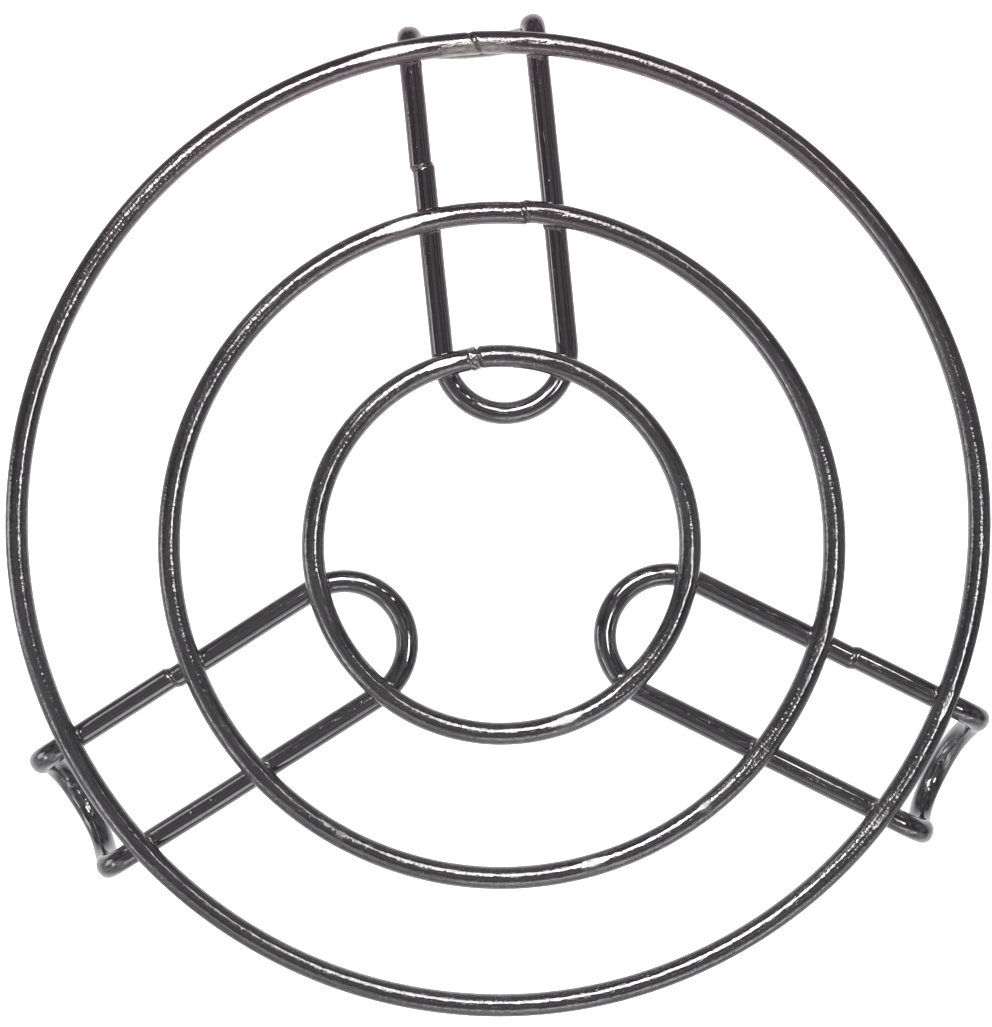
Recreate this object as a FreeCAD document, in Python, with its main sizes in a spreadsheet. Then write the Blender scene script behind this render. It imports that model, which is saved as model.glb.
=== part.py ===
import FreeCAD, Part
import math
import os

import Sketcher
from FreeCAD import Placement, Rotation, Vector

# Round wire cooling rack, about 180 mm across its feet and 27 mm tall.
#
# Three wire rings, one inside another, lie on three wire legs. A leg is one wire bent to a closed loop: a flat
# half-round inner end, two parallel runs that pass under the rings, and, past the outer ring, a bend down
# into a hanging U, the foot. Each ring is welded to both runs of each leg, and each of the six wires is
# closed on itself by a butt weld whose two ends meet a little out of line, as on the hand-welded article.
#
# Frame: millimetres, +Z up, origin on the table below the centre of the middle and inner rings. The rear
# leg points along +Y, the left leg towards -X -Y and the right leg towards +X -Y. "Left" and "right" in a
# weld's name are seen from the centre, looking outward along its leg.

RINGS = ("outer", "middle", "inner")
LEGS = ("rear", "left", "right")
SIDES = {"left": 1, "right": -1}

# alias, value (mm or degrees), meaning
DIMENSIONS = (
    ("wire_diameter", 4.0, "round wire of every ring and leg"),
    ("overall_height", 27.0, "table to the top of the rings"),
    ("set_down", 0.5, "how far crossing wires are pressed into each other by the weld"),
    ("nugget_radius", 2.4, "crossing weld, to the edge of its flash"),
    ("nugget_thickness", 1.6, "crossing weld, rim included"),
    ("closing_angle", 60.0, "last stretch of a ring, which springs out of true"),
    ("bead_rounding", 0.15, "rounding of a butt weld's two rims"),
    ("leg_spacing", 21.7, "centre to centre of a leg's two runs"),
    ("leg_bend_radius", 5.0, "centreline radius from run to foot"),
    ("leg_joint_step", 0.45, "sideways mismatch at a leg's butt weld"),
    ("leg_joint_gap", 1.0, "length of a leg's butt weld"),
    ("leg_joint_radius", 2.08, "radius of a leg's butt weld"),
    ("foot_short_share", 0.42, "share of the foot's width taken by its tighter arc"),
    ("outer_radius", 83.2, "centreline"),
    ("outer_shift_x", -0.6, "the outer ring sits off centre"),
    ("outer_shift_y", 3.7, "the outer ring sits off centre"),
    ("outer_joint_angle", 92.7, "place of the butt weld, from +X"),
    ("outer_joint_gap", 0.8, "length of the butt weld"),
    ("outer_joint_step", 0.1, "radial mismatch at the butt weld"),
    ("outer_joint_radius", 1.8, "the weld is a shallow groove"),
    ("middle_radius", 57.5, "centreline"),
    ("middle_shift_x", 0.0, "the middle ring is centred"),
    ("middle_shift_y", 0.0, "the middle ring is centred"),
    ("middle_joint_angle", 86.0, "place of the butt weld, from +X"),
    ("middle_joint_gap", 0.8, "length of the butt weld"),
    ("middle_joint_step", 0.42, "radial mismatch at the butt weld"),
    ("middle_joint_radius", 1.85, "the weld is a shallow groove"),
    ("inner_radius", 32.6, "centreline"),
    ("inner_shift_x", 0.0, "the inner ring is centred"),
    ("inner_shift_y", 0.0, "the inner ring is centred"),
    ("inner_joint_angle", 98.0, "place of the butt weld, from +X"),
    ("inner_joint_gap", 3.0, "length of the butt weld"),
    ("inner_joint_step", 0.25, "radial mismatch at the butt weld"),
    ("inner_joint_radius", 2.04, "the weld is a raised bead"),
    ("rear_azimuth", 95.8, "direction of the leg, from +X"),
    ("rear_offset", -4.0, "sideways miss of the centre, + to the leg's left"),
    ("rear_apex", 22.7, "centre to the inner end, centreline"),
    ("rear_reach", 92.2, "centre to the outer face of the foot"),
    ("rear_joint_at", 66.8, "butt weld, distance along the leg"),
    ("rear_joint_side", 1, "butt weld, +1 on the left run, -1 on the right"),
    ("left_azimuth", 212.5, "direction of the leg, from +X"),
    ("left_offset", -0.2, "sideways miss of the centre, + to the leg's left"),
    ("left_apex", 21.3, "centre to the inner end, centreline"),
    ("left_reach", 90.5, "centre to the outer face of the foot"),
    ("left_joint_at", 60.6, "butt weld, distance along the leg"),
    ("left_joint_side", -1, "butt weld, +1 on the left run, -1 on the right"),
    ("right_azimuth", 333.6, "direction of the leg, from +X"),
    ("right_offset", -1.4, "sideways miss of the centre, + to the leg's left"),
    ("right_apex", 22.1, "centre to the inner end, centreline"),
    ("right_reach", 90.5, "centre to the outer face of the foot"),
    ("right_joint_at", 63.6, "butt weld, distance along the leg"),
    ("right_joint_side", 1, "butt weld, +1 on the left run, -1 on the right"),
)

X = Vector(1, 0, 0)
Y = Vector(0, 1, 0)
Z = Vector(0, 0, 1)

# Formulas on the sheet that more than one feature uses.
WIRE_RADIUS = "dims.wire_diameter / 2"
RING_LEVEL = "dims.overall_height - dims.wire_diameter / 2"
LEG_LEVEL = "dims.overall_height - dims.wire_diameter * 3 / 2 + dims.set_down"
HALF_SPACING = "dims.leg_spacing / 2"

doc = FreeCAD.newDocument("cooling_rack")


def fill_sheet():
    """Writes the driving dimensions: name, value and meaning, one row each."""
    sheet = doc.addObject("Spreadsheet::Sheet", "dims")
    for row, (alias, size, meaning) in enumerate(DIMENSIONS, start=1):
        sheet.set(f"A{row}", alias)
        sheet.set(f"B{row}", str(size))
        sheet.set(f"C{row}", meaning)
        sheet.setAlias(f"B{row}", alias)
    doc.recompute()
    return sheet


dims = fill_sheet()


def value(formula):
    """The number that a formula comes to. Inside the sheet its cells go by their bare names."""
    return float(dims.evalExpression(formula.replace("dims.", "")))


def bind(feature, **formulas):
    """Binds a feature's sizes to formulas on the sheet."""
    for size, formula in formulas.items():
        feature.setExpression(size, formula)


def turned(x_direction, y_direction):
    """The rotation that carries the X and Y axes onto two given directions at right angles."""
    return Rotation(x_direction, y_direction, x_direction.cross(y_direction), "XYZ")


def bend(name, radius, sweep, centre, rotation):
    """A stretch of wire along an arc, which starts on the rotated X axis and turns towards its Y axis."""
    arc = doc.addObject("Part::Torus", name)
    bind(arc, Radius1=radius, Radius2=WIRE_RADIUS, Angle3=sweep)
    arc.Placement = Placement(centre, rotation)
    return arc


def run(name, start, direction, length):
    """A straight stretch of wire."""
    rod = doc.addObject("Part::Cylinder", name)
    bind(rod, Radius=WIRE_RADIUS, Height=length)
    rod.Placement = Placement(start, Rotation(Z, direction))
    return rod


def join(name, stretches, placement=Placement()):
    """One wire from its stretches, which meet end to end."""
    wire = doc.addObject("Part::MultiFuse", name)
    wire.Shapes = stretches
    wire.Refine = True
    wire.Placement = placement
    return wire


def origin_plane(body, role):
    return next(plane for plane in body.Origin.OriginFeatures if plane.Role == role)


def sketch_on(body, role, name):
    """An empty sketch on one of the body's own origin planes."""
    sketch = body.newObject("Sketcher::SketchObject", name)
    sketch.AttachmentSupport = [(origin_plane(body, role), "")]
    sketch.MapMode = "FlatFace"
    return sketch


def size_constraint(sketch, name, formula, *constraint):
    """Adds a dimension to a sketch and binds it to a formula on the sheet."""
    index = sketch.addConstraint(Sketcher.Constraint(*constraint, value(formula)))
    sketch.renameConstraint(index, name)
    sketch.setExpression(f"Constraints.{name}", formula)


def ring_centre(ring):
    return Vector(value(f"dims.{ring}_shift_x"), value(f"dims.{ring}_shift_y"), value(RING_LEVEL))


def ring_wire(ring):
    """A ring open at its joint: a true arc, then a closing arc, tangent to it, that springs outward."""
    radius = f"dims.{ring}_radius"
    half_gap = f"(dims.{ring}_joint_gap / dims.{ring}_radius * 90 / pi)"
    excess = f"(dims.{ring}_joint_step / (1 - cos(dims.closing_angle * 1deg)))"
    lead = f"asin({excess} * sin(dims.closing_angle * 1deg) / ({radius} + {excess})) / 1deg"
    joint = value(f"dims.{ring}_joint_angle")
    closing_start = joint - value("dims.closing_angle")
    towards_start = Rotation(Z, closing_start).multVec(X)
    true_arc = bend(
        f"{ring}_ring_true_arc",
        radius,
        f"360 - dims.closing_angle - {half_gap}",
        ring_centre(ring),
        Rotation(Z, joint + value(half_gap)),
    )
    closing_arc = bend(
        f"{ring}_ring_closing_arc",
        f"{radius} + {excess}",
        f"dims.closing_angle - {half_gap} - {lead}",
        ring_centre(ring) - towards_start * value(excess),
        Rotation(Z, closing_start),
    )
    return join(f"{ring}_ring_wire", [true_arc, closing_arc])


def leg_frame(leg):
    """The leg's own frame: X outward along the leg, Y to its left, shifted by its sideways miss."""
    rotation = Rotation(Z, value(f"dims.{leg}_azimuth"))
    return Placement(rotation.multVec(Y) * value(f"dims.{leg}_offset"), rotation)


def outer_lateral(leg, side):
    """Where a run lies sideways past its leg's joint: stepped outward on the side that has the joint."""
    stepped = side == value(f"dims.{leg}_joint_side")
    return side * (value(HALF_SPACING) + (value("dims.leg_joint_step") if stepped else 0))


def leg_wire(leg):
    """A leg, open at its joint, built in its own frame from the inner end to the foot."""
    half = value(HALF_SPACING)
    level = value(LEG_LEVEL)
    wire_radius = value(WIRE_RADIUS)
    bend_radius = value("dims.leg_bend_radius")
    joint_side = value(f"dims.{leg}_joint_side")
    inner_start = f"(dims.{leg}_apex + {HALF_SPACING})"
    bend_start = f"(dims.{leg}_reach - {WIRE_RADIUS} - dims.leg_bend_radius)"
    joint_start = f"(dims.{leg}_joint_at - dims.leg_joint_gap / 2)"
    joint_end = f"(dims.{leg}_joint_at + dims.leg_joint_gap / 2)"
    foot_plane = value(f"dims.{leg}_reach") - wire_radius

    inner_centre = Vector(value(inner_start), 0, level)
    stretches = [bend(f"{leg}_leg_inner_end", HALF_SPACING, "180", inner_centre, Rotation(Z, 90))]
    for side_name, side in SIDES.items():
        name = f"{leg}_leg_{side_name}"
        inner_point = Vector(value(inner_start), side * half, level)
        lateral = outer_lateral(leg, side)
        if side == joint_side:
            joint_point = Vector(value(joint_end), lateral, level)
            stretches += [
                run(f"{name}_inner_run", inner_point, X, f"{joint_start} - {inner_start}"),
                run(f"{name}_outer_run", joint_point, X, f"{bend_start} - {joint_end}"),
            ]
        else:
            stretches.append(run(f"{name}_run", inner_point, X, f"{bend_start} - {inner_start}"))
        share = "dims.foot_short_share" if side_name == "right" else "(1 - dims.foot_short_share)"
        arc_radius = f"((dims.leg_spacing + dims.leg_joint_step) * {share})"
        arc_top = value(arc_radius) + wire_radius
        bend_centre = Vector(value(bend_start), lateral, level - bend_radius)
        foot_centre = Vector(foot_plane, lateral - side * value(arc_radius), arc_top)
        drop = f"{LEG_LEVEL} - dims.leg_bend_radius - {arc_radius} - {WIRE_RADIUS}"
        foot_turn = turned(Y, -Z) if side > 0 else turned(-Z, -Y)
        stretches += [
            bend(f"{name}_bend", "dims.leg_bend_radius", "90", bend_centre, turned(X, Z)),
            run(f"{name}_drop", Vector(foot_plane, lateral, arc_top), Z, drop),
            bend(f"{name}_foot_arc", arc_radius, "90", foot_centre, foot_turn),
        ]
    return join(f"{leg}_leg_wire", stretches, leg_frame(leg))


def crossing(ring, leg, side):
    """Where a ring's centreline passes over one run of a leg, midway between the two wires."""
    frame = leg_frame(leg)
    centre = frame.inverse().multVec(ring_centre(ring))
    radius = value(f"dims.{ring}_radius")
    half = value(HALF_SPACING)
    lateral = outer_lateral(leg, side) if ring == "outer" else side * half
    straight_from = value(f"dims.{leg}_apex") + half
    along = centre.x + math.sqrt(radius**2 - (lateral - centre.y) ** 2)
    point = Vector(along, lateral, 0)
    if along < straight_from:
        # The ring crosses the half-round inner end: the meeting point of two circles.
        inner_end = Vector(straight_from, 0, 0)
        span = inner_end - Vector(centre.x, centre.y, 0)
        distance = span.Length
        reach = (radius**2 - half**2 + distance**2) / (2 * distance)
        rise = math.sqrt(radius**2 - reach**2)
        ahead = span.normalize()
        point = Vector(centre.x, centre.y, 0) + ahead * reach + Z.cross(ahead) * (side * rise)
    point.z = (value(RING_LEVEL) + value(LEG_LEVEL)) / 2
    return frame.multVec(point)


def crossing_weld(ring, leg, side_name):
    """A weld nugget: a disc with a full-round rim, which shows as flash around the crossing."""
    name = f"{ring}_ring_{leg}_leg_weld_{side_name}"
    body = doc.addObject("PartDesign::Body", name)
    profile = sketch_on(body, "XZ_Plane", f"{name}_profile")
    rim = value("dims.nugget_thickness / 2")
    flat = value("dims.nugget_radius") - rim
    bottom, top = Vector(0, -rim, 0), Vector(0, rim, 0)
    bottom_edge, top_edge = Vector(flat, -rim, 0), Vector(flat, rim, 0)
    rim_circle = Part.Circle(Vector(flat, 0, 0), Z, rim)
    profile.addGeometry(Part.LineSegment(bottom, bottom_edge))
    profile.addGeometry(Part.ArcOfCircle(rim_circle, -math.pi / 2, math.pi / 2))
    profile.addGeometry(Part.LineSegment(top_edge, top))
    profile.addGeometry(Part.LineSegment(top, bottom))
    for constraint in (
        ("Tangent", 0, 2, 1, 1),
        ("Tangent", 1, 2, 2, 1),
        ("Coincident", 2, 2, 3, 1),
        ("Coincident", 3, 2, 0, 1),
        ("Horizontal", 0),
        ("PointOnObject", 0, 1, -2),
        ("PointOnObject", 3, 1, -2),
        ("PointOnObject", 1, 3, -1),
    ):
        profile.addConstraint(Sketcher.Constraint(*constraint))
    size_constraint(profile, "rim", "dims.nugget_thickness / 2", "Radius", 1)
    size_constraint(
        profile, "flat", "dims.nugget_radius - dims.nugget_thickness / 2", "DistanceX", -1, 1, 1, 3
    )
    disc = body.newObject("PartDesign::Revolution", f"{name}_disc")
    disc.Profile = profile
    disc.ReferenceAxis = (profile, ["V_Axis"])
    disc.Angle = 360
    body.Placement = Placement(crossing(ring, leg, SIDES[side_name]), Rotation())
    return body


def round_section(body, name, radius, distance):
    """A sketch of a weld's round section, standing off the body's Z axis by a distance."""
    section = sketch_on(body, "XZ_Plane", f"{name}_section")
    section.addGeometry(Part.Circle(Vector(value(distance), 0, 0), Z, value(radius)))
    section.addConstraint(Sketcher.Constraint("PointOnObject", 0, 3, -1))
    size_constraint(section, "radius", radius, "Radius", 0)
    size_constraint(section, "distance", distance, "DistanceX", -1, 1, 0, 3)
    return section


def rounded_rims(body, name, bead):
    """Rounds the two rims of a butt weld, which are the full circles round its ends."""
    doc.recompute()
    rims = []
    for number, edge in enumerate(bead.Shape.Edges, start=1):
        curve = edge.Curve
        if isinstance(curve, Part.Circle) and abs(edge.Length - 2 * math.pi * curve.Radius) < 0.01:
            rims.append(f"Edge{number}")
    rounding = body.newObject("PartDesign::Fillet", f"{name}_rounding")
    rounding.Base = (bead, rims)
    bind(rounding, Radius="dims.bead_rounding")


def ring_butt_weld(ring):
    """The weld that closes a ring: a short arc of its own radius, between the ring's two ends."""
    name = f"{ring}_ring_butt_weld"
    body = doc.addObject("PartDesign::Body", name)
    distance = f"dims.{ring}_radius + dims.{ring}_joint_step / 2"
    bead = body.newObject("PartDesign::Revolution", f"{name}_bead")
    section = round_section(body, name, f"dims.{ring}_joint_radius", distance)
    bead.Profile = section
    bead.ReferenceAxis = (section, ["V_Axis"])
    bead.Midplane = True
    bind(bead, Angle=f"dims.{ring}_joint_gap / dims.{ring}_radius * 180 / pi")
    rounded_rims(body, name, bead)
    body.Placement = Placement(ring_centre(ring), Rotation(Z, value(f"dims.{ring}_joint_angle")))
    return body


def leg_butt_weld(leg):
    """The weld that closes a leg: a short barrel between the two halves of one run."""
    name = f"{leg}_leg_butt_weld"
    body = doc.addObject("PartDesign::Body", name)
    section = round_section(body, name, "dims.leg_joint_radius", f"{HALF_SPACING} + dims.leg_joint_step / 2")
    bead = body.newObject("PartDesign::Pad", f"{name}_bead")
    bead.Profile = section
    bead.Midplane = True
    bind(bead, Length="dims.leg_joint_gap")
    rounded_rims(body, name, bead)
    along = Vector(value(f"dims.{leg}_joint_at"), 0, value(LEG_LEVEL))
    side = value(f"dims.{leg}_joint_side")
    body.Placement = leg_frame(leg).multiply(Placement(along, Rotation(Z, 90 * side)))
    return body


def fitted(name, wire, welds):
    """A wire with its welds' room taken out of it, so that wire and weld meet face to face."""
    room = doc.addObject("Part::Compound", f"{name}_weld_room")
    room.Links = welds
    piece = doc.addObject("Part::Cut", name)
    piece.Base = wire
    piece.Tool = room
    return piece


def build():
    """Every separate piece of the rack, by name."""
    welds = {
        (ring, leg, side): crossing_weld(ring, leg, side) for ring in RINGS for leg in LEGS for side in SIDES
    }
    pieces = list(welds.values())
    for ring in RINGS:
        mine = [weld for key, weld in welds.items() if key[0] == ring]
        pieces.append(fitted(f"{ring}_ring", ring_wire(ring), mine))
        pieces.append(ring_butt_weld(ring))
    for leg in LEGS:
        mine = [weld for key, weld in welds.items() if key[1] == leg]
        pieces.append(fitted(f"{leg}_leg", leg_wire(leg), mine))
        pieces.append(leg_butt_weld(leg))
    doc.recompute()
    return pieces


def check(pieces):
    """Stops with a message if any feature failed or any piece isn't one sound solid."""
    for feature in doc.Objects:
        if {"Invalid", "Error"} & set(feature.State):
            raise RuntimeError(f"{feature.Label} failed: {feature.State}")
    for piece in pieces:
        shape = piece.Shape
        if shape.isNull() or not shape.isValid() or len(shape.Solids) != 1:
            raise RuntimeError(f"{piece.Label} is not one sound solid")


def write(pieces):
    os.makedirs("parts", exist_ok=True)
    for piece in pieces:
        piece.Shape.exportStep(f"parts/{piece.Label}.step")
        print(f"{piece.Label}: {piece.Shape.Volume:.1f} mm3")


rack = build()
check(rack)
write(rack)
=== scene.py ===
import math
import random

import bmesh
import bpy
import numpy as np
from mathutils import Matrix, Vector, noise


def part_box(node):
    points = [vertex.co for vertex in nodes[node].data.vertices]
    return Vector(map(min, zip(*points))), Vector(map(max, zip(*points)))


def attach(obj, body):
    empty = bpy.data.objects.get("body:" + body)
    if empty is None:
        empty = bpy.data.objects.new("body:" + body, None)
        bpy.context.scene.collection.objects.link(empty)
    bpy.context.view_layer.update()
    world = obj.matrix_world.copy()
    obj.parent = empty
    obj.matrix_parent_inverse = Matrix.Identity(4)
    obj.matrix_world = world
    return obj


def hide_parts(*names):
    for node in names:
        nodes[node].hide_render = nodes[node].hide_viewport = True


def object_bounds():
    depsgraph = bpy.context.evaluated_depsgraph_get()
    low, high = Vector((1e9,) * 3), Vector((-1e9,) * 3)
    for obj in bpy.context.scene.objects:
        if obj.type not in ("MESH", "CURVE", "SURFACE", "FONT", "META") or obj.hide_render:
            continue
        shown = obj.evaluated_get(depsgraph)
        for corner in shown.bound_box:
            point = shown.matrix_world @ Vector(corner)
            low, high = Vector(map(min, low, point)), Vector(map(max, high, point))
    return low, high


# The looks of a round wire cooling rack: six bent wires of drawn and plated steel, joined by eighteen
# crossing welds and closed by six butt welds. Metres, +Z up. The wires are swept again along the lines of
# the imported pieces, with the small unevenness of hand-fed wire, and each weld gets its lumps and cracks.

RINGS = ("outer", "middle", "inner")
LEGS = ("rear", "left", "right")
SIDES = {"left": 1, "right": -1}
CROSSINGS = [(ring, leg, side) for ring in RINGS for leg in LEGS for side in SIDES]
MM = 0.001
QUARTER_TURN = math.pi / 2

# The wire, and how finely its skin is drawn: the points round it, and the distance between rows of points
# on straight runs and rings, in bends, and on closing welds
WIRE_RADIUS = 2 * MM
AROUND = 48
STEP = 0.4 * MM
BEND_STEP = 0.3 * MM
FEWEST_BEND_STEPS = 8
BEAD_STEP = 0.08 * MM

# Hand-fed wire: how far it wanders sideways, in how many waves along its length, how much of that it does
# up and down, how far from its ends it starts, and how oval it is
WAVER = 0.08 * MM
WAVES = (3, 5, 8, 13)
UPRIGHT_WAVER = 0.4
WAVER_START = 12 * MM
OVALITY = 0.012 * MM

# The last part of a ring's turn, over which it drifts outward to the step at its joint
CLOSING_ANGLE = math.radians(60)

# A leg: the radius of its bends down into the foot, the share of the foot's width that its tighter arc
# takes, how far the foot leans in as a share of its depth, how far its drops bow out, and how much wider
# the wire is on its inner side just below the bend, and how far that reaches
BEND_RADIUS = 5 * MM
SHORT_ARC_SHARE = 0.42
LEAN_IN = {"rear": 0.035, "left": 0.0, "right": 0.0}
BOW_OUT = {"rear": 0.0, "left": 0.6 * MM, "right": 0.6 * MM}
FLARE = 0.45 * MM
FLARE_REACH = 3.2 * MM

# The flat that an electrode pressed at each crossing weld: its depth, its reach along the wire, how far it
# lies from the middle of the weld, and where the electrode leaned, its sideways share in x and y
PRESS_DEPTH = 0.10 * MM
PRESS_REACH = 2.6 * MM
PRESS_SIDE = 1.75 * MM
PRESS_LEAN = {("rear", "left"): (-0.09, 0.19)}
# A flat only cuts the side of the wire that faces it by at least this share
LEAST_FACING = 0.2

# Where a ring is rubbed dull and flat: the degrees round it, the reach along the wire, the depth of the flat,
# and its sideways lean in x and y
WORN = {
    "outer": ((103, 5.0 * MM, 0.16 * MM, (-0.066, 0.10)),),
    "middle": (
        (107, 3.4 * MM, 0.24 * MM, (-0.066, 0.13)),
        (241, 1.0 * MM, 0.05 * MM, (-0.042, 0.29)),
        (286, 2.2 * MM, 0.13 * MM, (-0.113, 0.29)),
        (308, 1.0 * MM, 0.06 * MM, (-0.145, 0.28)),
    ),
    "inner": ((290, 2.4 * MM, 0.15 * MM, (-0.107, 0.26)),),
}
# How far along the outer ring its closing weld was ground
GROUND_REACH = 6.5 * MM
# How far the heat of a crossing weld and of a closing weld stained the wire
CROSSING_HEAT_REACH = 4 * MM
CLOSING_HEAT_REACH = 3.5 * MM

# How a closing weld looks. gap: between the wire's ends. step: how much further out a ring's last end lies.
# slant: of the cut. rounding: of the ends. length, waist: the weld between them, and how far it is sunk
# below the wire. lumps: its unevenness. grooves: place, half width and depth of each dip round it.
JOINTS = {
    "outer": {
        "gap": 0.28 * MM, "step": 0.10 * MM, "slant": 0.55, "rounding": 0.20 * MM, "length": 1.6 * MM,
        "waist": 0.16 * MM, "lumps": 0.05 * MM, "grooves": (),
    },
    "middle": {
        "gap": 0.20 * MM, "step": 0.42 * MM, "slant": 0.30, "rounding": 0.18 * MM, "length": 1.6 * MM,
        "waist": 0.12 * MM, "lumps": 0.05 * MM, "grooves": (),
    },
    "inner": {
        "gap": 1.7 * MM, "step": 0.15 * MM, "slant": 0.1, "rounding": 0.14 * MM, "length": 2.6 * MM,
        "waist": -0.04 * MM, "lumps": 0.24 * MM, "grooves": ((-0.80 * MM, 0.20 * MM, 0.45 * MM),),
    },
    "leg": {
        "gap": 0.06 * MM, "slant": 0.12, "rounding": 0.06 * MM, "length": 1.4 * MM,
        "waist": 0.02 * MM, "lumps": 0.03 * MM, "grooves": (),
    },
}
# How far from its end the slanted cut shears the wire, how much of its rounding an end draws in, and the
# rounding of the weld's own hidden ends
SLANT_REACH = 1.6 * MM
DRAWN_IN = 0.9
BEAD_ROUNDING = 0.6 * MM

# Lumps of weld metal: their size, and then how fast the finer ones fade, how much finer each is than the
# last, and how many sizes there are
BEAD_LUMP = 0.75 * MM
BEAD_FRACTAL = (0.8, 2.1, 3)
NUGGET_LUMP = 0.8 * MM
NUGGET_FRACTAL = (0.9, 2.1, 3)
# A crossing weld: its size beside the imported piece, how much its lumps stand out, and how square it is
NUGGET_SIZE = 0.95
NUGGET_LUMPS = 0.13
NUGGET_SQUARENESS = 0.3
NUGGET_SUBDIVISIONS = 5

# Seeds: one for each wire and weld, counted up from these
RING_SEED = 11
LEG_SEED = 31
RING_JOINT_SEED = 4.0
LEG_JOINT_SEED = 9.0
NUGGET_SEED = 20.0
NUGGET_SEED_STEP = 1.7
NUGGET_SEED_STRIDE = (7.31, 3.17, 1.93)

# Patterns on the unrolled skin of a wire: how many for each millimetre along it and across it, the turn of
# the pattern, the number of finer layers and their strength
SKIN_PATTERNS = {
    "lines": ((0.05, 5.0, 5.0), (0.0, 0.0, 0.0), 4.0, 0.6),
    "peel": ((1.5, 1.9, 1.9), (0.0, 0.0, 0.0), 2.0, 0.5),
    "roller": ((2.2, 0.4, 0.4), (0.0, 0.0, 0.0), 2.0, 0.5),
    "waves": ((0.28, 0.5, 0.5), (0.0, 0.0, 0.0), 2.0, 0.5),
    "grinding": ((0.9, 3.0, 3.0), (0.0, 0.5, 0.9), 3.0, 0.6),
    "rubbing": ((0.5, 0.9, 0.9), (0.0, 0.3, 0.7), 3.0, 0.6),
    "long_scratches": ((0.35, 7.0, 7.0), (0.0, 0.1, 0.22), 1.0, 0.55),
    "cross_scratches": ((0.5, 6.0, 6.0), (0.0, -0.16, -0.5), 1.0, 0.55),
}

# What the plated steel mirrors of each colour: clean, clouded, a painted purple reflection at the rear, and
# where it is marked
STEEL = (0.545, 0.545, 0.55, 1)
CLOUDED_STEEL = (0.465, 0.46, 0.47, 1)
REAR_PAINTED_REFLECTION = (0.53, 0.44, 0.475, 1)
SMUDGED = (0.34, 0.325, 0.33, 1)
LINED = (0.30, 0.29, 0.29, 1)
HEATED = (0.42, 0.37, 0.345, 1)
PITTED = (0.10, 0.08, 0.075, 1)
SCRATCHED = (0.76, 0.75, 0.74, 1)
GROUND_BRIGHT = (0.95, 0.91, 0.85, 1)
GROUND_DULL = (0.55, 0.52, 0.48, 1)
WELD_HOLE = (0.08, 0.07, 0.065, 1)
# Weld metal in its brighter and duller parts, and where the heat tinted it: squeezed out between wires, and
# as the bright bead that closes the inner ring
WELD_METALS = {
    "flash": ((0.50, 0.49, 0.49, 1), (0.38, 0.36, 0.35, 1), (0.28, 0.27, 0.29, 1)),
    "bead": ((0.78, 0.77, 0.77, 1), (0.60, 0.58, 0.58, 1), (0.46, 0.45, 0.47, 1)),
}

# The stretch of the drawn steel's reflections, how uneven the rings and the legs are, and their least and
# greatest roughness
ANISOTROPY = 0.3
RING_UNEVENNESS = 1.0
RING_ROUGHNESS = (0.06, 0.17)
LEG_UNEVENNESS = 0.10
LEG_ROUGHNESS = (0.03, 0.05)

# The studio: what the lights face, the height of the lamps over the table, the distance of the panels round
# the rack, their tints, and the table's half width, how far it lies below the feet, and its paint
LIT_CENTRE = (0, 0, 0.02)
LAMP_HEIGHT = 0.68
PANEL_DISTANCE = 1.0
LAMP_TINT = (1.0, 0.985, 0.975)
FRONT_TINT = (1.0, 0.98, 1.0)
LEFT_TINT = (1.0, 0.98, 0.98)
WHITE = (1.0, 1.0, 1.0)
TABLE_SPAN = 4.0
TABLE_DROP = 0.2 * MM
TABLE_SHADES = ((0.87, 0.87, 0.865, 1), (0.90, 0.90, 0.90, 1))
TABLE_ROUGHNESS = 0.85
TABLE_SHINE = 0.1
# The small lamps at the rear right: the middle of their row, its direction, and each one's place along it
SPOT_ROW = (0.30, 0.40)
SPOT_DIRECTION = (0.8, -0.6)
SPOT_PLACES = (-0.13, -0.03, 0.08)
# The direction from the rack to the room's window, the room's light where it is dim and where it is lit, each
# from clear to cluttered, its light beside the table and below, and the plain backdrop
WINDOW_DIRECTION = (-0.286, -0.882, -0.375)
DIM_ROOM = ((0.043, 0.0413, 0.044, 1), (0.160, 0.154, 0.160, 1))
LIT_ROOM = ((0.18, 0.177, 0.18, 1), (0.45, 0.443, 0.45, 1))
BESIDE_TABLE = (0.34, 0.337, 0.34, 1)
BELOW = (0.86, 0.855, 0.86, 1)
BACKDROP = (0.90, 0.90, 0.90, 1)

# The camera: its height over the rings, how much it takes in upright at their level, and its middle
CAMERA_DISTANCE = 0.53
VIEW_HEIGHT = 0.1775
VIEW_CENTRE = (-0.95 * MM, 5.5 * MM)
SENSOR_HEIGHT = 24.0

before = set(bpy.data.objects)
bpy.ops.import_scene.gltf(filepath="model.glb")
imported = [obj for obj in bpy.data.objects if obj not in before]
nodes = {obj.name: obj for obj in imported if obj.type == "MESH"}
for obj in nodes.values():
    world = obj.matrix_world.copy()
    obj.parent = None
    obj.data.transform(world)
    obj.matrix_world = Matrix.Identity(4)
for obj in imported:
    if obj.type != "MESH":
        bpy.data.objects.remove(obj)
cad_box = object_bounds()


def middle_of(node):
    """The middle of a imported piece's box."""
    low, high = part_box(node)
    return np.array((low + high) / 2)


def unit(vector):
    """A direction of length 1."""
    return vector / np.linalg.norm(vector)


def spread(values):
    """A smooth weight, 1 at zero and falling to 0 by about one and a half."""
    return np.exp(-np.asarray(values) ** 4)


# ---------------------------------------------------------------- paths


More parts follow.
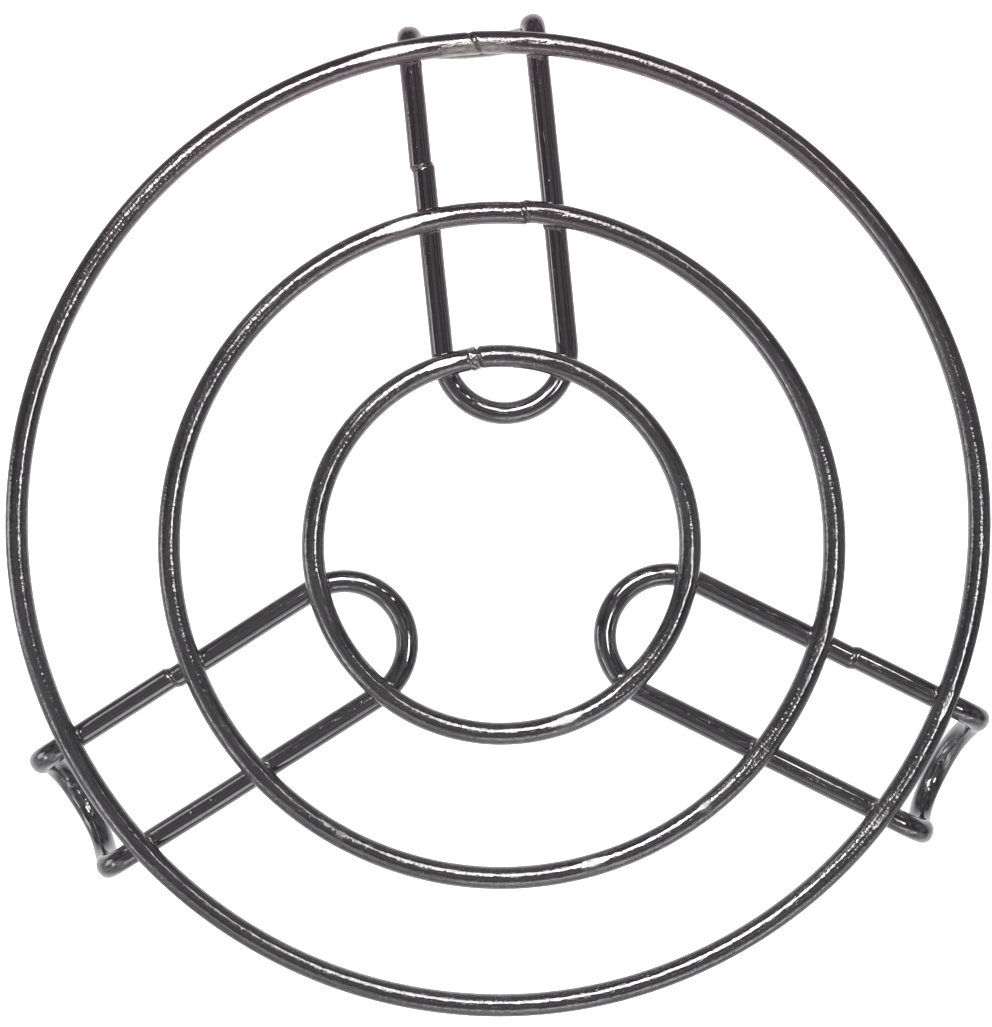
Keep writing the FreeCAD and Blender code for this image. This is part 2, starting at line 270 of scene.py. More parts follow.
class Path:
    """A chain of straight runs and arcs, sampled into points."""

    def __init__(self, start):
        self.points = [np.array(start, float)]

    def line(self, end):
        """A straight run on to the end."""
        start, end = self.points[-1], np.array(end, float)
        count = max(1, math.ceil(np.linalg.norm(end - start) / STEP))
        self.points += [start + (end - start) * k / count for k in range(1, count + 1)]

    def arc(self, centre, from_axis, to_axis, radius, sweep):
        """An arc round the centre, which starts on one axis and turns towards the other."""
        centre, from_axis, to_axis = (np.array(v, float) for v in (centre, from_axis, to_axis))
        count = max(FEWEST_BEND_STEPS, math.ceil(radius * sweep / BEND_STEP))
        for k in range(1, count + 1):
            turn = sweep * k / count
            self.points.append(centre + radius * (from_axis * math.cos(turn) + to_axis * math.sin(turn)))


def ring_path(ring):
    """The centreline of a ring from one end of its joint round to the other."""
    low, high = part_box(f"{ring}_ring")
    radius = (high.x - low.x) / 2 - WIRE_RADIUS
    centre = np.array([(low.x + high.x) / 2, low.y + radius + WIRE_RADIUS, high.z - WIRE_RADIUS])
    joint = middle_of(f"{ring}_ring_butt_weld") - centre
    joint_angle = math.atan2(joint[1], joint[0])
    half_gap = JOINTS[ring]["gap"] / 2 / radius
    count = math.ceil(2 * math.pi * radius / STEP)
    turns = np.linspace(half_gap, 2 * math.pi - half_gap, count)
    closing = np.clip(turns - (2 * math.pi - CLOSING_ANGLE), 0, None)
    growth = JOINTS[ring]["step"] * (1 - np.cos(closing)) / (1 - math.cos(CLOSING_ANGLE))
    angles = joint_angle + turns
    reach = radius + growth
    return centre + np.stack([reach * np.cos(angles), reach * np.sin(angles), 0 * angles], axis=1)


def leg_lines(leg):
    """A leg's own directions, levels and distances, read from its welds and its solid."""
    weld = {
        (ring, side): middle_of(f"{ring}_ring_{leg}_leg_weld_{side}") for ring in RINGS for side in SIDES
    }
    butt = middle_of(f"{leg}_leg_butt_weld")
    rough_across = np.cross([0, 0, 1], unit(weld["middle", "left"] + weld["middle", "right"]))
    joint_side = min(SIDES, key=lambda side: abs((butt - weld["middle", side]) @ rough_across))
    plain_side = next(side for side in SIDES if side != joint_side)
    along = weld["outer", plain_side] - weld["middle", plain_side]
    along[2] = 0
    along = unit(along)
    across = np.cross([0, 0, 1], along)
    vertices = np.array([v.co for v in nodes[f"{leg}_leg"].data.vertices])
    lengthwise = vertices @ along
    return {
        "along": along,
        "across": across,
        "joint_side": joint_side,
        "plain_side": plain_side,
        "joint_at": butt @ along,
        "level": butt[2],
        "lateral": {side: weld["middle", side] @ across for side in SIDES},
        "stepped": weld["outer", joint_side] @ across,
        "inner_face": lengthwise.min(),
        "outer_face": lengthwise.max(),
        "bottom": vertices[:, 2].min(),
    }


def leg_path(leg):
    """The centreline of a leg, and its flares. It runs from the joint out over the foot, back, round the
    inner end and up to the joint again. A flare is the place and the direction of a bulge."""
    lines = leg_lines(leg)
    side, other = lines["joint_side"], lines["plain_side"]
    sign = SIDES[side]
    near, far, stepped = lines["lateral"][side], lines["lateral"][other], lines["stepped"]
    level = lines["level"]
    corner = level - BEND_RADIUS
    bottom = lines["bottom"] + WIRE_RADIUS
    half = abs(near - far) / 2
    axis = (near + far) / 2
    inner_start = lines["inner_face"] + WIRE_RADIUS + half
    foot_plane = lines["outer_face"] - WIRE_RADIUS
    bend_start = foot_plane - BEND_RADIUS
    foot_width = half * 2 + abs(stepped - near)
    short = foot_width * SHORT_ARC_SHARE
    arcs = {"right": short, "left": foot_width - short}
    near_arc, far_arc = arcs[side], arcs[other]
    out, left, up = np.array([1, 0, 0]), np.array([0, 1, 0]), np.array([0, 0, 1])
    inward = -sign * left

    # In the leg's own axes: out along it, to its left, and up
    path = Path([lines["joint_at"] + JOINTS["leg"]["gap"] / 2, stepped, level])
    path.line([bend_start, stepped, level])
    path.arc([bend_start, stepped, corner], up, out, BEND_RADIUS, QUARTER_TURN)
    path.line([foot_plane, stepped, bottom + near_arc])
    path.arc([foot_plane, stepped - sign * near_arc, bottom + near_arc], -inward, -up, near_arc, QUARTER_TURN)
    path.arc([foot_plane, far + sign * far_arc, bottom + far_arc], -up, inward, far_arc, QUARTER_TURN)
    path.line([foot_plane, far, corner])
    path.arc([bend_start, far, corner], out, up, BEND_RADIUS, QUARTER_TURN)
    path.line([inner_start, far, level])
    path.arc([inner_start, axis, level], inward, -out, half, math.pi)
    path.line([lines["joint_at"] - JOINTS["leg"]["gap"] / 2, near, level])

    leg_axes = np.array([lines["along"], lines["across"], up])
    flares = [
        (np.array([foot_plane, stepped, corner]) @ leg_axes, -sign * lines["across"]),
        (np.array([foot_plane, far, corner]) @ leg_axes, sign * lines["across"]),
    ]
    local = np.array(path.points)
    depth = np.clip(corner - local[:, 2], 0, None)
    bow = np.sin(math.pi * depth / (corner - bottom)) ** 2
    local[:, 0] += BOW_OUT[leg] * bow - LEAN_IN[leg] * depth
    return local @ leg_axes, flares


# ---------------------------------------------------------------- wires


def waver(length, count, seed):
    """Slow sideways unevenness along a wire, in two directions, zero at both ends."""
    rng = random.Random(seed)
    distance = np.linspace(0, 1, count)
    drift = np.zeros((2, count))
    for row in drift:
        for cycles in WAVES:
            phase = rng.uniform(0, 2 * math.pi)
            row += np.sin(2 * math.pi * cycles * distance + phase) / cycles
    ends = np.minimum(1, np.minimum(distance, 1 - distance) * length / WAVER_START)
    return WAVER * drift * ends * ends * (3 - 2 * ends)


def carried(points):
    """The tangents of a path, and two directions square to them that are carried along without twisting."""
    tangents = np.gradient(points, axis=0)
    tangents /= np.linalg.norm(tangents, axis=1)[:, None]
    normals = np.zeros_like(points)
    normal = np.array([0.0, 0.0, 1.0])
    for k, tangent in enumerate(tangents):
        normal = unit(normal - tangent * (normal @ tangent))
        normals[k] = normal
    return tangents, normals, np.cross(tangents, normals)


def travelled(points):
    """The distance along a path to each of its points."""
    return np.concatenate([[0], np.cumsum(np.linalg.norm(np.diff(points, axis=0), axis=1))])


def shown(name, data):
    """A new object in the scene with this mesh, light or lens."""
    thing = bpy.data.objects.new(name, data)
    bpy.context.scene.collection.objects.link(thing)
    return thing


def tube(name, positions, distance, **marks):
    """A closed skin over rows of points, facing outward. It carries its length and turn as a UV map, and each
    mark as an attribute with one value for a row."""
    rows = len(positions)
    ring = np.arange(AROUND)
    after = (ring + 1) % AROUND
    base = np.arange(rows - 1)[:, None] * AROUND
    corners = np.stack([base + ring, base + after, base + AROUND + after, base + AROUND + ring], axis=2)
    faces = [tuple(face) for face in corners.reshape(-1, 4).tolist()]
    faces += [tuple(reversed(range(AROUND))), tuple(range((rows - 1) * AROUND, rows * AROUND))]
    mesh = bpy.data.meshes.new(name)
    mesh.from_pydata(positions.reshape(-1, 3).tolist(), [], faces)
    spots = np.zeros((len(mesh.loops), 2), np.float32)
    skin = spots[: (rows - 1) * AROUND * 4].reshape(rows - 1, AROUND, 4, 2)
    skin[:, :, (0, 1), 0] = distance[:-1, None, None]
    skin[:, :, (2, 3), 0] = distance[1:, None, None]
    skin[:, :, (0, 3), 1] = (ring / AROUND)[None, :, None]
    skin[:, :, (1, 2), 1] = ((ring + 1) / AROUND)[None, :, None]
    mesh.uv_layers.new(name="wire").data.foreach_set("uv", spots.ravel())
    for mark, values in marks.items():
        attribute = mesh.attributes.new(mark, "FLOAT", "POINT")
        attribute.data.foreach_set("value", np.repeat(values, AROUND).astype(np.float32))
    mesh.polygons.foreach_set("use_smooth", [len(face) == 4 for face in faces])
    mesh.update()
    return shown(name, mesh)


def around(normals, binormals):
    """The turn of each point round a wire, and its direction from the centreline."""
    turn = np.linspace(0, 2 * math.pi, AROUND, endpoint=False)
    cosine, sine = np.cos(turn)[None, :, None], np.sin(turn)[None, :, None]
    return turn, normals[:, None, :] * cosine + binormals[:, None, :] * sine


def rounded_end(end, rounding):
    """How far a wire's surface draws in near its end."""
    inset = np.clip(1 - end / rounding, 0, 1)
    return DRAWN_IN * rounding * (1 - np.sqrt(np.clip(1 - inset**2, 0, 1)))


def slanted(turn, slant, share):
    """How far a slanted cut moves each point along the wire, for each row's share of it."""
    return np.sin(turn)[None, :, None] * WIRE_RADIUS * slant * share[:, None, None]


def flattened(reach, direction, facing, depth):
    """The wire's reach from its centreline with one side cut flat, to each row's depth."""
    height = np.maximum(direction @ facing, LEAST_FACING)
    return np.minimum(reach, (WIRE_RADIUS - depth[:, None]) / height)


def wire(name, points, seed, joint, presses, flares=(), rubbed=(), **marks):
    """A round wire along the points. Each press is the place and the direction of a weld, where an electrode
    flattened the wire. Each flare is the place and the direction of a bulge left by bending. Each rubbed
    place is the distance of every point from it, its reach, its depth and its direction."""
    tangents, normals, binormals = carried(points)
    distance = travelled(points)
    length = distance[-1]
    drift = waver(length, len(points), seed)
    centres = points + normals * drift[0][:, None] * UPRIGHT_WAVER + binormals * drift[1][:, None]
    turn, direction = around(normals, binormals)
    oval = random.Random(seed + 1).uniform(0, math.pi)
    reach = WIRE_RADIUS + OVALITY * np.cos(2 * turn + oval)[None, :] + np.zeros((len(points), 1))
    heat = np.zeros(len(points))
    for place, facing in presses:
        away = np.linalg.norm(centres - place, axis=1)
        heat = np.maximum(heat, np.exp(-((away / CROSSING_HEAT_REACH) ** 2)))
        reach = flattened(reach, direction, facing, PRESS_DEPTH * spread(away / PRESS_REACH))
    worn = np.zeros(len(points))
    for aside, along, depth, facing in rubbed:
        share = np.exp(-((aside / along) ** 2))
        worn = np.maximum(worn, share)
        reach = flattened(reach, direction, facing, depth * share)
    for place, facing in flares:
        away = np.linalg.norm(centres - place, axis=1)
        reach += FLARE * spread(away / FLARE_REACH)[:, None] * np.clip(direction @ facing, 0, 1) ** 2
    end = np.minimum(distance, length - distance)
    reach -= rounded_end(end, joint["rounding"])[:, None]
    heat = np.maximum(heat, np.exp(-((end / CLOSING_HEAT_REACH) ** 2)))
    positions = centres[:, None, :] + direction * reach[:, :, None]
    positions += tangents[:, None, :] * slanted(turn, joint["slant"], np.exp(-end / SLANT_REACH))
    return tube(name, positions, distance, heat=heat, worn=worn, **marks)


def closing_weld(name, wire_points, seed, joint):
    """The metal between a wire's two ends, which reaches a little way into both."""
    along = unit(wire_points[1] - wire_points[0])
    middle = (wire_points[0] + wire_points[-1]) / 2
    count = math.ceil(joint["length"] / BEAD_STEP)
    distance = np.linspace(-joint["length"] / 2, joint["length"] / 2, count)
    points = middle + along * distance[:, None]
    tangents, normals, binormals = carried(points)
    turn, direction = around(normals, binormals)
    reach = np.full((count, AROUND), WIRE_RADIUS - joint["waist"])
    for k, place in enumerate(distance):
        for j, angle in enumerate(turn):
            spot = Vector((place, WIRE_RADIUS * math.cos(angle), WIRE_RADIUS * math.sin(angle))) / BEAD_LUMP
            reach[k, j] += joint["lumps"] * noise.fractal(spot + Vector((seed, seed, seed)), *BEAD_FRACTAL)
    for at, half_width, depth in joint["grooves"]:
        reach -= depth * np.exp(-(((distance - at) / half_width) ** 2))[:, None]
    reach -= rounded_end(joint["length"] / 2 - np.abs(distance), BEAD_ROUNDING)[:, None]
    positions = points[:, None, :] + direction * reach[:, :, None]
    positions += tangents[:, None, :] * slanted(turn, joint["slant"], np.ones(count))
    return tube(name, positions, distance - distance[0])


def crossing_weld(name, place, half_sizes, seed):
    """Weld metal squeezed out round a crossing: a closed lump, made uneven by noise."""
    mesh = bpy.data.meshes.new(name)
    shape = bmesh.new()
    bmesh.ops.create_icosphere(shape, subdivisions=NUGGET_SUBDIVISIONS, radius=1.0)
    offset = Vector([seed * stride for stride in NUGGET_SEED_STRIDE])
    for vertex in shape.verts:
        boxy = max(abs(c) for c in vertex.co)
        scale = 1 + NUGGET_SQUARENESS * (1 / boxy - 1)
        local = Vector([c * h for c, h in zip(vertex.co, half_sizes)])
        bump = noise.fractal(local / NUGGET_LUMP + offset, *NUGGET_FRACTAL)
        vertex.co = Vector(place) + local * (scale + NUGGET_LUMPS * bump)
    for face in shape.faces:
        face.smooth = True
    shape.to_mesh(mesh)
    shape.free()
    return shown(name, mesh)


# ---------------------------------------------------------------- materials


class Shader:
    """A node tree, with short calls for the nodes used here."""

    def __init__(self, owner):
        owner.use_nodes = True
        self.tree = owner.node_tree
        self.tree.nodes.clear()

    def node(self, kind, **settings):
        made = self.tree.nodes.new(f"ShaderNode{kind}")
        for key, setting in settings.items():
            setattr(made, key, setting)
        return made

    def link(self, source, target):
        self.tree.links.new(source, target)

    def put(self, socket, given):
        """A number, a colour or another node's output into a socket."""
        if isinstance(given, bpy.types.NodeSocket):
            self.link(given, socket)
        else:
            socket.default_value = given

    def math(self, operation, first, second=0.0):
        """Arithmetic on one or two numbers."""
        made = self.node("Math", operation=operation)
        self.put(made.inputs[0], first)
        self.put(made.inputs[1], second)
        return made.outputs[0]

    def split(self, vector):
        """The three parts of a vector."""
        made = self.node("SeparateXYZ")
        self.link(vector, made.inputs[0])
        return made.outputs

    def mapped(self, vector, scale, rotation):
        """A vector, stretched and turned."""
        made = self.node("Mapping")
        self.put(made.inputs["Vector"], vector)
        made.inputs["Scale"].default_value = scale
        made.inputs["Rotation"].default_value = rotation
        return made.outputs[0]

    def noise(self, vector, scale, detail=3.0, roughness=0.55, distortion=0.0):
        """Cloudy noise from 0 to 1."""
        made = self.node("TexNoise")
        self.put(made.inputs["Vector"], vector)
        made.inputs["Scale"].default_value = scale
        made.inputs["Detail"].default_value = detail
        made.inputs["Roughness"].default_value = roughness
        made.inputs["Distortion"].default_value = distortion
        return made.outputs["Fac"]

    def spots(self, vector, scale):
        """The distance to the nearest of many scattered points."""
        made = self.node("TexVoronoi")
        self.put(made.inputs["Vector"], vector)
        made.inputs["Scale"].default_value = scale
        return made.outputs["Distance"]

    def between(self, given, low, high, to_low=0.0, to_high=1.0):
        """One range laid on another, and held at its ends."""
        made = self.node("MapRange", clamp=True)
        for socket, number in zip(made.inputs, (given, low, high, to_low, to_high)):
            self.put(socket, number)
        return made.outputs[0]

    def colour(self, factor, first, second):
        """A mix of two colours."""
        made = self.node("Mix", data_type="RGBA")
        self.put(made.inputs["Factor"], factor)
        self.put(made.inputs["A"], first)
        self.put(made.inputs["B"], second)
        return made.outputs["Result"]

    def mark(self, name):
        """An attribute of the mesh, which is 0 where the mesh has none."""
        return self.node("Attribute", attribute_name=name).outputs["Fac"]

    def bump(self, height, strength, distance, below=None):
        """A bump, over the one below it if there is one."""
        made = self.node("Bump")
        self.put(made.inputs["Height"], height)
        made.inputs["Strength"].default_value = strength
        made.inputs["Distance"].default_value = distance
        if below is not None:
            self.link(below, made.inputs["Normal"])
        return made.outputs[0]

    def relief(self, layers):
        """Bumps over each other. A layer is a height, its strength, and its depth in millimetres."""
        normal = None
        for height, strength, depth in layers:
            normal = self.bump(height, strength, depth * MM, normal)
        return normal

    def metal(self, colour, gloss, normal):
        """The metal that ends the tree."""
        made = self.node("BsdfPrincipled")
        made.inputs["Metallic"].default_value = 1.0
        self.link(colour, made.inputs["Base Color"])
        self.link(gloss, made.inputs["Roughness"])
        self.link(normal, made.inputs["Normal"])
        self.link(made.outputs[0], self.node("OutputMaterial").inputs["Surface"])
        return made


def unrolled(shader):
    """Millimetres along the wire and round it, without a seam, as a vector."""
    along, turn, _ = shader.split(shader.node("UVMap", uv_map="wire").outputs[0])
    angle = shader.math("MULTIPLY", turn, 2 * math.pi)
    joined = shader.node("CombineXYZ")
    shader.put(joined.inputs[0], shader.math("MULTIPLY", along, 1 / MM))
    shader.put(joined.inputs[1], shader.math("MULTIPLY", shader.math("COSINE", angle), WIRE_RADIUS / MM))
    shader.put(joined.inputs[2], shader.math("MULTIPLY", shader.math("SINE", angle), WIRE_RADIUS / MM))
    return joined.outputs[0]


def skin_of_wire(shader):
    """The patterns and marks on a wire's skin, by name."""
    surface = unrolled(shader)
    place = shader.node("TexCoord").outputs["Object"]
    skin = {
        name: shader.noise(shader.mapped(surface, scale, turn), 1.0, layers, strength)
        for name, (scale, turn, layers, strength) in SKIN_PATTERNS.items()
    }
    rough_patch = shader.between(shader.noise(place, 38.0, 3.0, 0.6), 0.44, 0.66, 0.75, 1.1)
    for name in ("peel", "roller"):
        skin[name] = shader.math("MULTIPLY", skin[name], rough_patch)

    smeared = shader.mapped(place, (1.0, 1.4, 1.0), (0.3, 0.2, 0.9))
    skin["smudge"] = shader.noise(smeared, 110.0, 5.0, 0.65, 0.6)
    skin["cloud"] = shader.noise(place, 28.0, 4.0, 0.55)
    # Painted reflection: a purple tint mixed into the steel's colour by place, stronger towards the rear
    skin["rearward"] = shader.between(shader.split(place)[1], 0.01, 0.08, 0.0, 0.7)
    skin["scratches"] = shader.math(
        "MAXIMUM",
        shader.between(skin["long_scratches"], 0.66, 0.70),
        shader.between(skin["cross_scratches"], 0.685, 0.72),
    )
    pitted_patch = shader.between(shader.noise(place, 70.0, 2.0), 0.52, 0.62)
    pits = shader.between(shader.spots(surface, 1.1), 0.05, 0.16, 1.0, 0.0)
    skin["pits"] = shader.math("MULTIPLY", pits, pitted_patch)

    skin["heat"] = shader.mark("heat")
    rubbed = shader.between(skin["rubbing"], 0.25, 0.55, 0.5, 1.0)
    skin["worn"] = shader.math("MULTIPLY", shader.mark("worn"), rubbed)
    inner_side = shader.between(shader.split(surface)[2], 0.5, -0.5)
    ground = shader.math("MULTIPLY", shader.mark("ground"), inner_side)
    ragged = shader.between(skin["grinding"], 0.3, 0.7, -0.3, 0.3)
    skin["ground"] = shader.between(shader.math("ADD", ground, ragged), 0.45, 0.75)
    return skin


def wire_material(name, unevenness, roughness_range):
    """Plated drawn steel: dark and glossy, with drawing lines, roller marks, scratches and smudges, dull
    where it is worn and pale where it is ground."""
    material = bpy.data.materials.new(name)
    shader = Shader(material)
    skin = skin_of_wire(shader)

    steel = shader.colour(shader.between(skin["cloud"], 0.35, 0.68), STEEL, CLOUDED_STEEL)
    freshly_ground = shader.colour(shader.between(skin["grinding"], 0.4, 0.65), GROUND_BRIGHT, GROUND_DULL)
    coats = (
        # the painted purple reflection at the rear
        (skin["rearward"], REAR_PAINTED_REFLECTION),
        (shader.between(skin["smudge"], 0.55, 0.8, 0.0, 0.5), SMUDGED),
        (shader.between(skin["lines"], 0.45, 0.75, 0.0, 0.3), LINED),
        (shader.between(skin["heat"], 0.3, 0.95, 0.0, 0.35), HEATED),
        (shader.math("MULTIPLY", skin["pits"], 0.8), PITTED),
        (shader.math("MULTIPLY", skin["scratches"], 0.35), SCRATCHED),
        (skin["ground"], freshly_ground),
    )
    for share, colour in coats:
        steel = shader.colour(share, steel, colour)

    smoothest, roughest = roughness_range
    gloss = shader.between(skin["smudge"], 0.35, 0.8, smoothest, roughest)
    dulling = (
        shader.between(skin["lines"], 0.4, 0.8, 0.0, 0.3 * roughest),
        shader.math("MULTIPLY", skin["heat"], 0.06),
        shader.math("MULTIPLY", skin["pits"], 0.35),
        shader.math("MULTIPLY", skin["worn"], 0.26),
    )
    for more in dulling:
        gloss = shader.math("ADD", gloss, more)
    gloss = shader.math("MAXIMUM", gloss, shader.math("MULTIPLY", skin["ground"], 0.34))

    normal = shader.relief((
        (skin["waves"], 0.5, 0.10 * unevenness),
        (skin["peel"], 1.0, 0.055 * unevenness),
        (skin["roller"], 1.0, 0.03 * unevenness),
        (shader.math("MULTIPLY", skin["grinding"], skin["ground"]), 0.6, 0.10),
        (skin["lines"], 0.35, 0.012),
        (skin["scratches"], 0.3, -0.012),
        (skin["pits"], 0.5, -0.03),
    ))
    metal = shader.metal(steel, gloss, normal)
    metal.inputs["Anisotropic"].default_value = ANISOTROPY
    tangent = shader.node("Tangent", direction_type="UV_MAP", uv_map="wire")
    shader.link(tangent.outputs[0], metal.inputs["Tangent"])
    return material


def weld_material(name, bright, dull, heat_tint):
    """Fused and plated metal: rougher than the wire, grained and pitted, with a tint from the heat."""
    material = bpy.data.materials.new(name)
    shader = Shader(material)
    place = shader.node("TexCoord").outputs["Object"]
    grain = shader.noise(place, 2600.0, 4.0, 0.65)
    lumps = shader.noise(place, 1100.0, 3.0, 0.5, 0.4)
    tint = shader.noise(place, 420.0, 2.0)
    holes = shader.between(shader.spots(place, 1500.0), 0.04, 0.2, 1.0, 0.0)
    colour = shader.colour(shader.between(tint, 0.38, 0.62), bright, dull)
    colour = shader.colour(shader.between(lumps, 0.5, 0.75, 0.0, 0.5), colour, heat_tint)
    colour = shader.colour(holes, colour, WELD_HOLE)
    gloss = shader.between(grain, 0.3, 0.75, 0.10, 0.26)
    normal = shader.relief(((lumps, 0.8, 0.14), (grain, 0.5, 0.03), (holes, 0.6, -0.05)))
    shader.metal(colour, gloss, normal)
    return material


def floor_material():
    """A pale matt table top."""
    material = bpy.data.materials.new("pale_table")
    shader = Shader(material)
    place = shader.node("TexCoord").outputs["Object"]
    cloud = shader.noise(place, 6.0, 4.0, 0.5)
    colour = shader.colour(shader.between(cloud, 0.3, 0.7), *TABLE_SHADES)
    paint = shader.node("BsdfPrincipled")
    paint.inputs["Roughness"].default_value = TABLE_ROUGHNESS
    paint.inputs["Specular IOR Level"].default_value = TABLE_SHINE
    shader.link(colour, paint.inputs["Base Color"])
    shader.link(paint.outputs[0], shader.node("OutputMaterial").inputs["Surface"])
    return material


# ---------------------------------------------------------------- pieces


def settle(piece, node, material):
    """A finished piece: its material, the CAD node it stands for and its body."""
    piece.data.materials.clear()
    piece.data.materials.append(material)
    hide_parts(node)
    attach(piece, "root")


def presses_on(wire_name, up):
    """The place and the direction of an electrode's flat at each crossing weld of a wire: on its far side,
    and square to the weld unless the electrode leaned there."""
    presses = []
    for ring, leg, side in CROSSINGS:
        if wire_name in (f"{ring}_ring", f"{leg}_leg"):
            weld = middle_of(f"{ring}_ring_{leg}_leg_weld_{side}")
            facing = np.array([*PRESS_LEAN.get((leg, side), (0.0, 0.0)), up])
            presses.append((weld + np.array([0, 0, up * PRESS_SIDE]), unit(facing)))
    return presses


def rubbed_on(ring, points):
    """The worn places of a ring: every point's distance from each, and its reach, depth and direction."""
    spokes = points - middle_of(f"{ring}_ring")
    angles = np.degrees(np.arctan2(spokes[:, 1], spokes[:, 0]))
    radii = np.linalg.norm(spokes, axis=1)
    places = []
    for at, along, depth, lean in WORN[ring]:
        aside = np.radians((angles - at + 180) % 360 - 180) * radii
        places.append((aside, along, depth, unit(np.array([*lean, 1.0]))))
    return places


def ground_near_joint(points):
    """How much of the grinding of its closing weld reaches each point of a ring."""
    distance = travelled(points)
    return spread(np.minimum(distance, distance[-1] - distance) / GROUND_REACH)


def build_rings(plating, weld_metals):
    """The rings, and the welds that close them."""
    for number, ring in enumerate(RINGS):
        points = ring_path(ring)
        joint = JOINTS[ring]
        marks = {"ground": ground_near_joint(points)} if ring == "outer" else {}
        body = wire(
            f"{ring}_ring_wire", points, RING_SEED + number, joint,
            presses_on(f"{ring}_ring", 1), rubbed=rubbed_on(ring, points), **marks,
        )
        settle(body, f"{ring}_ring", plating)
        bead = closing_weld(f"{ring}_ring_joint", points, RING_JOINT_SEED + number, joint)
        settle(bead, f"{ring}_ring_butt_weld", weld_metals["bead" if ring == "inner" else "flash"])


def build_legs(plating, weld_metals):
    """The legs, and the welds that close them."""
    for number, leg in enumerate(LEGS):
        points, flares = leg_path(leg)
        joint = JOINTS["leg"]
        body = wire(f"{leg}_leg_wire", points, LEG_SEED + number, joint, presses_on(f"{leg}_leg", -1), flares)
        settle(body, f"{leg}_leg", plating)
        bead = closing_weld(f"{leg}_leg_joint", points, LEG_JOINT_SEED + number, joint)
        settle(bead, f"{leg}_leg_butt_weld", weld_metals["flash"])


def build_crossing_welds(metal):
    """The welds that join the rings to the legs."""
    seed = NUGGET_SEED
    for ring, leg, side in CROSSINGS:
        node = f"{ring}_ring_{leg}_leg_weld_{side}"
        low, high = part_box(node)
        seed += NUGGET_SEED_STEP
        nugget = crossing_weld(f"{node}_flash", middle_of(node), (high - low) / 2 * NUGGET_SIZE, seed)
        settle(nugget, node, metal)


# ---------------------------------------------------------------- studio


def panel_place(azimuth, zenith):
    """A place round the rack at a compass angle from +X and an angle from straight up, for a panel."""
    flat = PANEL_DISTANCE * math.sin(math.radians(zenith))
    turn = math.radians(azimuth)
    height = PANEL_DISTANCE * math.cos(math.radians(zenith))
    return Vector(LIT_CENTRE) + Vector((flat * math.cos(turn), flat * math.sin(turn), height))


def softbox(name, place, size, radiance, colour=LAMP_TINT, in_gloss=True):
    """A rectangular light that faces the rack. Radiance is what the metal sees in it."""
    light = bpy.data.lights.new(name, "AREA")
    light.shape = "RECTANGLE"
    light.size, light.size_y = size
    light.energy = radiance * size[0] * size[1] * math.pi
    light.color = colour
    lamp = shown(name, light)
    lamp.location = place
    lamp.rotation_euler = (Vector(LIT_CENTRE) - Vector(place)).to_track_quat("-Z", "Y").to_euler()
    lamp.visible_camera = False
    lamp.visible_glossy = in_gloss


def build_table():
    """A plain pale table top just below the feet."""
    span = TABLE_SPAN
    mesh = bpy.data.meshes.new("table_top")
    corners = [(-span, -span, 0), (span, -span, 0), (span, span, 0), (-span, span, 0)]
    mesh.from_pydata(corners, [], [(0, 1, 2, 3)])
    mesh.materials.append(floor_material())
    floor = shown("table_top", mesh)
    floor.location.z = cad_box[0][2] - TABLE_DROP
    floor.visible_glossy = False


def build_lights():
    """Lamps over the rack, panels round it, and a fill that lights the table and isn't mirrored."""
    softbox("key", (-0.14, 0.335, LAMP_HEIGHT), (0.25, 0.27), 6.0)
    softbox("key_side", (0.09, 0.44, LAMP_HEIGHT), (0.12, 0.36), 2.2)
    for number, aside in enumerate(SPOT_PLACES):
        across, back = (at + way * aside for at, way in zip(SPOT_ROW, SPOT_DIRECTION))
        softbox(f"rear_right_spot_{number}", (across, back, LAMP_HEIGHT), (0.024, 0.08), 8.5)
    softbox("right_lamp", (0.29, -0.02, LAMP_HEIGHT), (0.07, 0.12), 3.4)
    softbox("overhead_lamp", (0.255, -0.09, LAMP_HEIGHT), (0.08, 0.16), 3.2)
    softbox("rear_left_spot", panel_place(137, 62), (0.12, 0.30), 0.6)
    softbox("front_panel", panel_place(277, 55), (0.46, 0.16), 0.55, FRONT_TINT)
    softbox("left_panel", panel_place(184, 84), (0.36, 0.40), 0.66, LEFT_TINT)
    softbox("front_left_panel", panel_place(213, 64), (0.34, 0.16), 0.9, LEFT_TINT)
    softbox("right_panel", panel_place(302, 68), (0.44, 0.16), 0.60, FRONT_TINT)
    softbox("table_fill", (0, 0, 1.4), (2.4, 2.4), 7.0, WHITE, in_gloss=False)


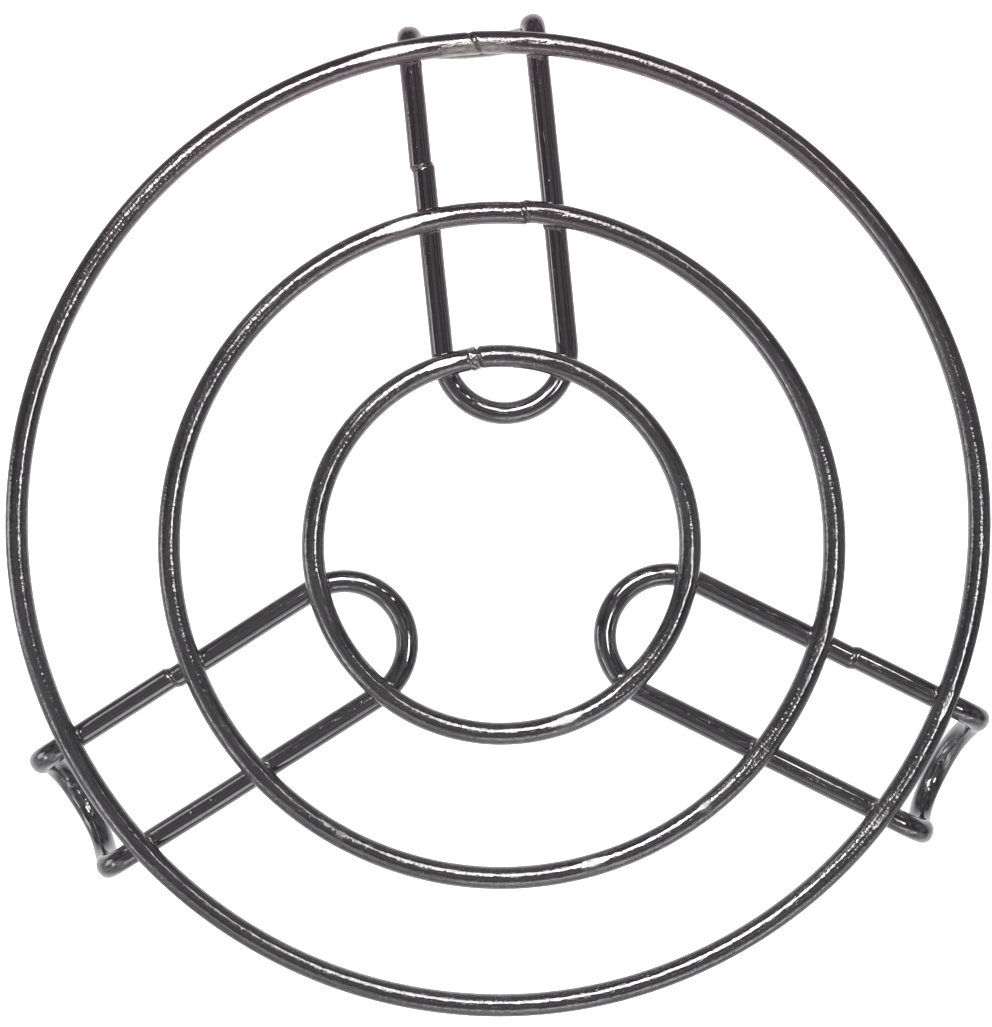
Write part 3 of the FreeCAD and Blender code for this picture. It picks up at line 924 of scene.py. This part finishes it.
def build_room():
    """What the metal sees all round: a dim room, lighter on the side of its window and down by the table."""
    world = bpy.data.worlds.new("room")
    shader = Shader(world)
    direction = shader.node("TexCoord").outputs["Generated"]
    _, rearward, upward = shader.split(direction)
    facing = shader.node("VectorMath", operation="DOT_PRODUCT")
    shader.link(direction, facing.inputs[0])
    facing.inputs[1].default_value = WINDOW_DIRECTION
    window_side = shader.between(facing.outputs["Value"], 0.10, 0.28)
    low_down = shader.between(upward, 0.45, 0.05, 1.0, 0.6)
    in_front = shader.between(rearward, -0.45, -0.75)
    beside_table = shader.math("MULTIPLY", shader.between(upward, -0.10, -0.50), in_front)
    below = shader.between(upward, -0.30, -0.90)
    clutter = shader.between(shader.noise(direction, 3.5, 3.0, 0.6, 0.3), 0.38, 0.66)
    dim = shader.colour(clutter, *DIM_ROOM)
    lit = shader.colour(clutter, *LIT_ROOM)
    light = shader.colour(shader.math("MULTIPLY", window_side, low_down), dim, lit)
    light = shader.colour(beside_table, light, BESIDE_TABLE)
    light = shader.colour(below, light, BELOW)
    room = shader.node("Background")
    shader.link(light, room.inputs["Color"])
    backdrop = shader.node("Background")
    backdrop.inputs["Color"].default_value = BACKDROP
    choice = shader.node("MixShader")
    shader.link(shader.node("LightPath").outputs["Is Camera Ray"], choice.inputs[0])
    shader.link(room.outputs[0], choice.inputs[1])
    shader.link(backdrop.outputs[0], choice.inputs[2])
    shader.link(choice.outputs[0], shader.node("OutputWorld").inputs["Surface"])
    bpy.context.scene.world = world


def build_camera():
    """Looks straight down on the rings."""
    lens = bpy.data.cameras.new("overhead")
    lens.sensor_fit = "VERTICAL"
    lens.sensor_height = SENSOR_HEIGHT
    lens.lens = lens.sensor_height * CAMERA_DISTANCE / VIEW_HEIGHT
    lens.clip_start = 0.01
    camera = shown("overhead", lens)
    camera.location = (*VIEW_CENTRE, middle_of("middle_ring")[2] + CAMERA_DISTANCE)
    bpy.context.scene.camera = camera
    bpy.context.scene.view_settings.view_transform = "Standard"


# ---------------------------------------------------------------- scene

weld_metals = {kind: weld_material(f"weld_{kind}", *colours) for kind, colours in WELD_METALS.items()}
build_rings(wire_material("plated_wire_rings", RING_UNEVENNESS, RING_ROUGHNESS), weld_metals)
build_legs(wire_material("plated_wire_legs", LEG_UNEVENNESS, LEG_ROUGHNESS), weld_metals)
build_crossing_welds(weld_metals["flash"])
build_table()
build_lights()
build_room()
build_camera()
